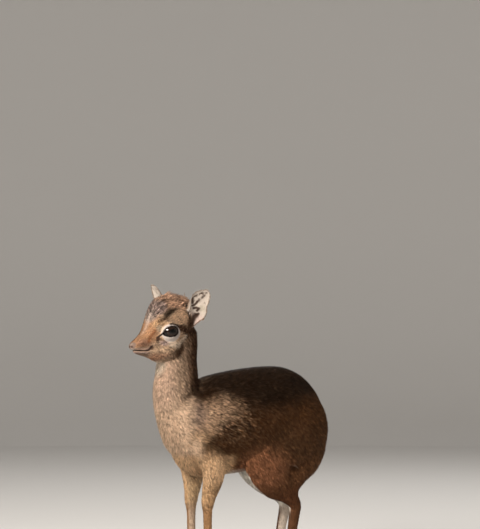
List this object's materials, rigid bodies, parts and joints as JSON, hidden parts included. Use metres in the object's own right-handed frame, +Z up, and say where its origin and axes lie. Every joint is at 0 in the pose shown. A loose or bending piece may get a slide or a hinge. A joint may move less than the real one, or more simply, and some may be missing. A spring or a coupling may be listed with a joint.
{
  "type": "young dik-dik",
  "caption": "Young dik-dik standing with its left hind foot a little ahead, head turned slightly left: a still life-size model with a shaggy crown, cupped ears and cloven hooves.",
  "frame": {"origin": "on the floor, below the middle of the model's box", "axes": "+Z up, -Y the way the trunk faces, +X the animal's left side"},
  "size_m": [0.0964, 0.2668, 0.3457],
  "materials": {
    "coat": "short ticked hair, grey-brown to rufous",
    "ear": "short fine hair, cream inside",
    "eye": "wet dark brown eye",
    "hoof": "dark horn"
  },
  "bodies": {
    "root": {"head": "coat", "neck": "coat", "torso": "coat", "tail": "coat", "ear_left": "ear", "eye_left": "eye", "forearm_left": "coat", "fore_cannon_left": "coat", "thigh_left": "coat", "shank_left": "coat", "hind_cannon_left": "coat", "hoof_fore_inner_left": "hoof", "hoof_fore_outer_left": "hoof", "hoof_hind_inner_left": "hoof", "hoof_hind_outer_left": "hoof", "ear_right": "ear", "eye_right": "eye", "forearm_right": "coat", "fore_cannon_right": "coat", "thigh_right": "coat", "shank_right": "coat", "hind_cannon_right": "coat", "hoof_fore_inner_right": "hoof", "hoof_fore_outer_right": "hoof", "hoof_hind_inner_right": "hoof", "hoof_hind_outer_right": "hoof"}
  },
  "joints": []
}
